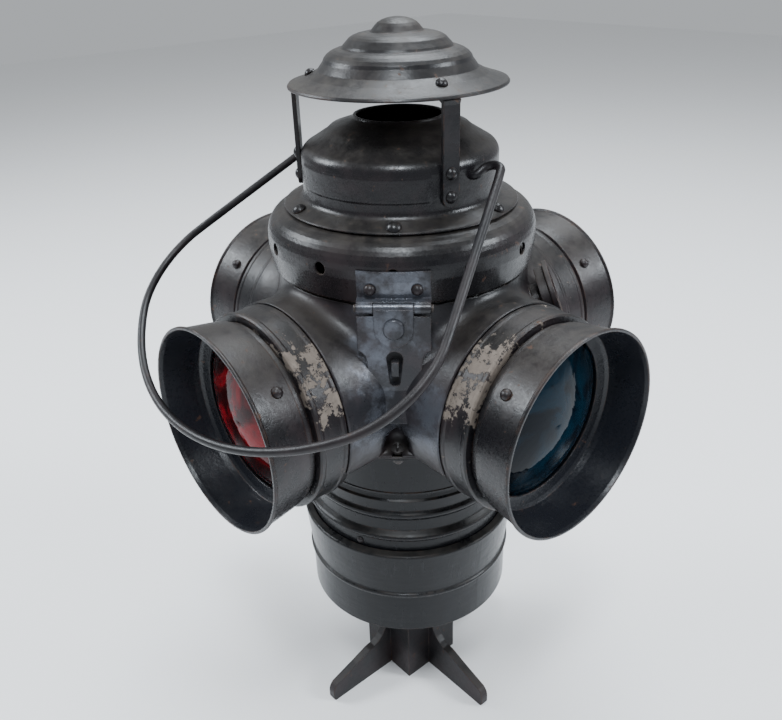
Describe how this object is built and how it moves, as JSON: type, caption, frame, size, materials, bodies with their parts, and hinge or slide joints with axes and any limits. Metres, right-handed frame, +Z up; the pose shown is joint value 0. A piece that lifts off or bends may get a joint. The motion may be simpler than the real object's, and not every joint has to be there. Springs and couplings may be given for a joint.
{
  "type": "railroad switch lamp",
  "caption": "Oil-burning four-way signal lantern with hooded lenses, vented lid under a tiered rain cap, hasp, wire bail and a square mast socket.",
  "frame": {"origin": "on the lamp's upright axis, in the bottom plane of the square mast socket", "axes": "+Z up; the four lens axes lie along +X, -X, +Y and -Y; the hasp is on the corner between +X and -Y, and the lid's hinge on the opposite corner"},
  "size_m": [0.297, 0.3181, 0.4846],
  "materials": {
    "black_enamel": "old glossy black paint with dust and wear",
    "worn_enamel": "black paint worn thin over steel",
    "dark_steel": "painted steel fastener, scuffed",
    "tinned_steel": "dull tinned sheet",
    "brass": "tarnished",
    "red_glass": "deep red glass",
    "blue_green_glass": "deep blue-green glass",
    "clear_glass": "clear",
    "felt": "pressed felt",
    "cotton": "woven cotton"
  },
  "bodies": {
    "lamp_body": {"mast_socket": "black_enamel", "socket_bolts": "dark_steel", "base_cup": "black_enamel", "cup_rivets": "worn_enamel", "lower_drum": "black_enamel", "floor_pan": "tinned_steel", "font_seat": "tinned_steel", "body_shell": "black_enamel", "ledge_screws": "dark_steel", "ledge_nuts": "dark_steel", "lens_tube_front": "black_enamel", "lens_tube_right": "black_enamel", "lens_tube_back": "black_enamel", "lens_tube_left": "black_enamel", "lens_band_front": "black_enamel", "lens_band_right": "black_enamel", "lens_band_back": "black_enamel", "lens_band_left": "black_enamel", "lens_hood_front": "black_enamel", "lens_hood_right": "black_enamel", "lens_hood_back": "black_enamel", "lens_hood_left": "black_enamel", "lens_front": "red_glass", "lens_right": "blue_green_glass", "lens_back": "red_glass", "lens_left": "blue_green_glass", "lens_gaskets": "felt", "hood_screws": "dark_steel", "hood_nuts": "dark_steel", "hood_rivets": "worn_enamel", "sight_tube": "black_enamel", "sight_glass": "clear_glass", "latch_catch": "worn_enamel", "rear_hinge_leaf": "black_enamel", "rear_hinge_pin": "dark_steel"},
    "lid": {"draft_hood": "black_enamel", "chimney": "black_enamel", "flange_screws": "dark_steel", "inner_flue": "tinned_steel", "cap_strap_1": "black_enamel", "cap_strap_2": "black_enamel", "cap_strap_3": "black_enamel", "strap_rivets": "worn_enamel", "rain_cap": "black_enamel", "cap_rivets": "worn_enamel", "lid_hinge_leaf": "black_enamel", "hasp_leaf": "black_enamel", "leaf_rivets": "worn_enamel", "hasp_pin": "dark_steel"},
    "hasp": {"hasp_plate": "worn_enamel", "hasp_tab": "worn_enamel", "hasp_rivet": "worn_enamel"},
    "bail": {"bail": "black_enamel"},
    "font": {"oil_font": "tinned_steel", "font_cap": "brass", "burner": "brass"},
    "wick_spindle": {"wick_knob": "brass"},
    "wick": {"wick": "cotton"}
  },
  "joints": [
    {"name": "lid_hinge", "type": "hinge", "parent": "lamp_body", "child": "lid", "pos_m": [-0.06081, 0.06081, 0.3454], "axis": [0.7071, 0.7071, 0], "range_deg": [-100, 0]},
    {"name": "hasp_swing", "type": "hinge", "parent": "lid", "child": "hasp", "pos_m": [0.06081, -0.06081, 0.3454], "axis": [-0.7071, -0.7071, 0], "range_deg": [0, 60]},
    {"name": "bail_swing", "type": "hinge", "parent": "lid", "child": "bail", "pos_m": [0, 0, 0.406], "axis": [-1, 0, 0], "range_deg": [0, 250]},
    {"name": "font_lift", "type": "slide", "parent": "lamp_body", "child": "font", "axis": [0, 0, 1], "range_m": [0, 0.05]},
    {"name": "wick_knob_turn", "type": "hinge", "parent": "font", "child": "wick_spindle", "pos_m": [0.02, -0.0052, 0.237], "axis": [1, 0, 0], "range_deg": [0, 180]},
    {"name": "wick_rise", "type": "slide", "parent": "font", "child": "wick", "axis": [0, 0, 1], "range_m": [0, 0.0065]}
  ],
  "couplings": [
    {"joint": "wick_rise", "follows": "wick_knob_turn", "m_per_rad": 0.00191}
  ]
}
